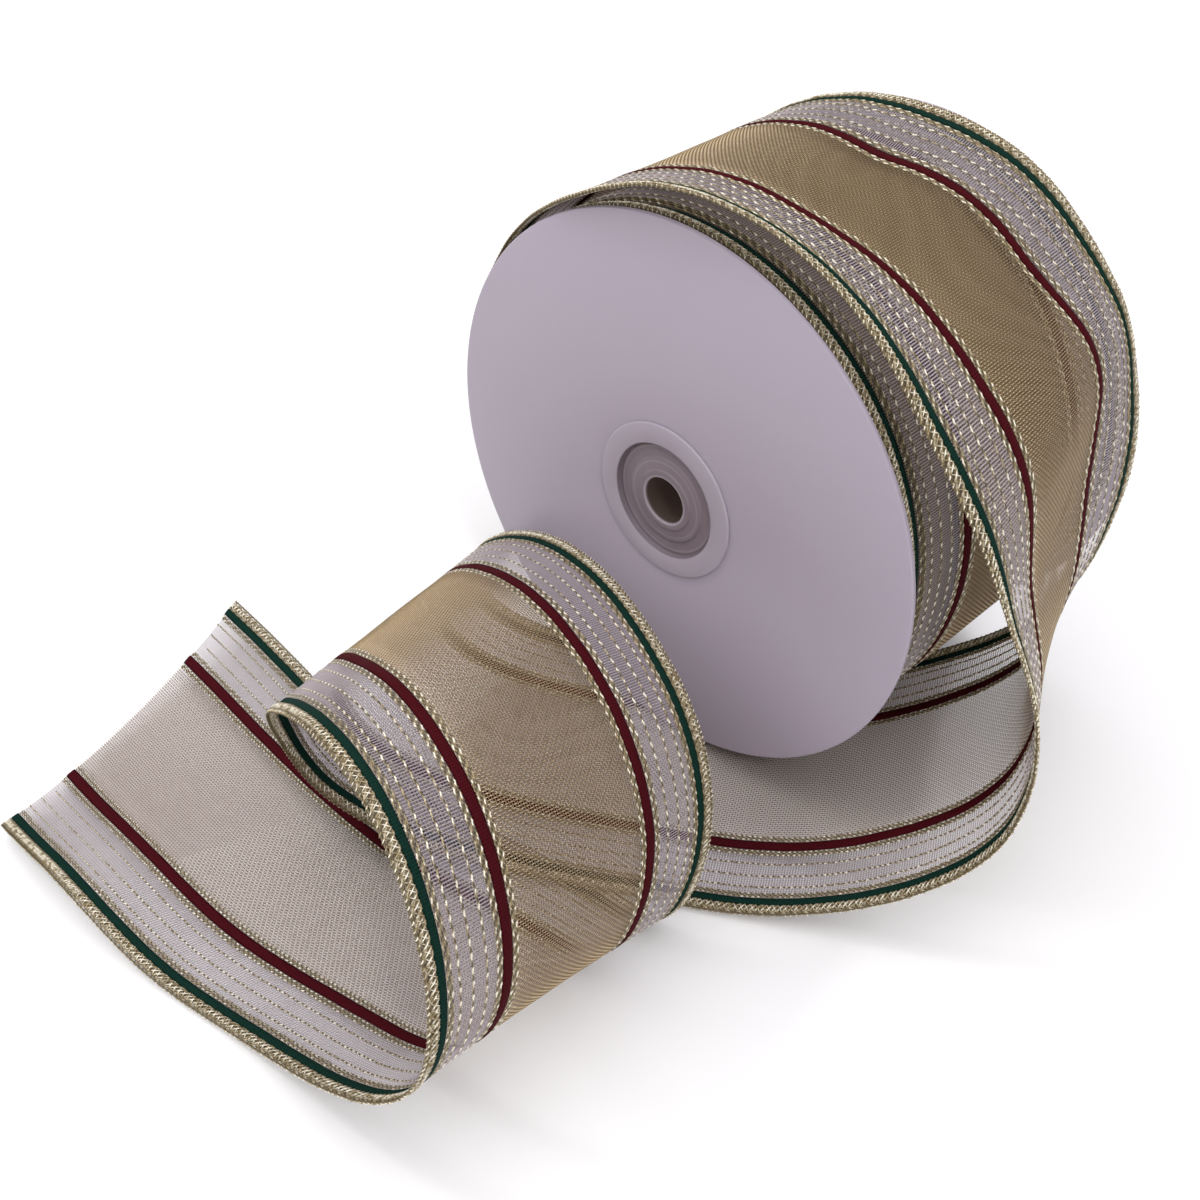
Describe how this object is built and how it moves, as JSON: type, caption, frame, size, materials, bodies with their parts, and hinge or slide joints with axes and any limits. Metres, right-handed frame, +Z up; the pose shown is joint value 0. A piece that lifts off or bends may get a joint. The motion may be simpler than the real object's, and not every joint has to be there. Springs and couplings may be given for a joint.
{
  "type": "ribbon spool",
  "caption": "Card-flanged spool of wired gift ribbon with striped sheer edges, a loose arch over the spool, a floor run, an open coil and a slanted cut end.",
  "frame": {"origin": "middle of the spool on its axle line", "axes": "+Y along the axle line from the front flange to the rear flange, +Z up, and the loose tail runs towards -X"},
  "size_m": [0.1583, 0.1712, 0.1121],
  "materials": {
    "card_white": "glossy white coated card",
    "kraft_board": "plain brown kraft board",
    "hub_plastic": "translucent grey-white moulded plastic",
    "clear_tape": "clear adhesive tape",
    "edge_wire": "gold thread over fine wire",
    "gold_lurex": "glittering metallic gold yarn",
    "green_grosgrain": "ribbed dark green yarn",
    "burgundy_grosgrain": "ribbed burgundy yarn",
    "sheer_organza": "sheer lilac-white organza with gold threads",
    "gold_mesh": "open plain weave of metallic gold thread"
  },
  "bodies": {
    "loose_ribbon": {"loose_edge_wires": "edge_wire", "loose_selvedges": "gold_lurex", "loose_green_stripes": "green_grosgrain", "loose_outer_cords": "gold_lurex", "loose_sheer_bands": "sheer_organza", "loose_middle_cords": "gold_lurex", "loose_burgundy_stripes": "burgundy_grosgrain", "loose_inner_cords": "gold_lurex", "loose_gold_mesh": "gold_mesh"},
    "spool": {"front_flange": "card_white", "rear_flange": "card_white", "core_tube": "kraft_board", "front_hub_cap": "hub_plastic", "rear_hub_cap": "hub_plastic", "start_tape": "clear_tape", "wound_edge_wires": "edge_wire", "wound_selvedges": "gold_lurex", "wound_green_stripes": "green_grosgrain", "wound_outer_cords": "gold_lurex", "wound_sheer_bands": "sheer_organza", "wound_middle_cords": "gold_lurex", "wound_burgundy_stripes": "burgundy_grosgrain", "wound_inner_cords": "gold_lurex", "wound_gold_mesh": "gold_mesh"}
  },
  "joints": [
    {"name": "spool_spin", "type": "hinge", "parent": "loose_ribbon", "child": "spool", "pos_m": [0, 0, 0], "axis": [0, 1, 0], "continuous": true}
  ]
}
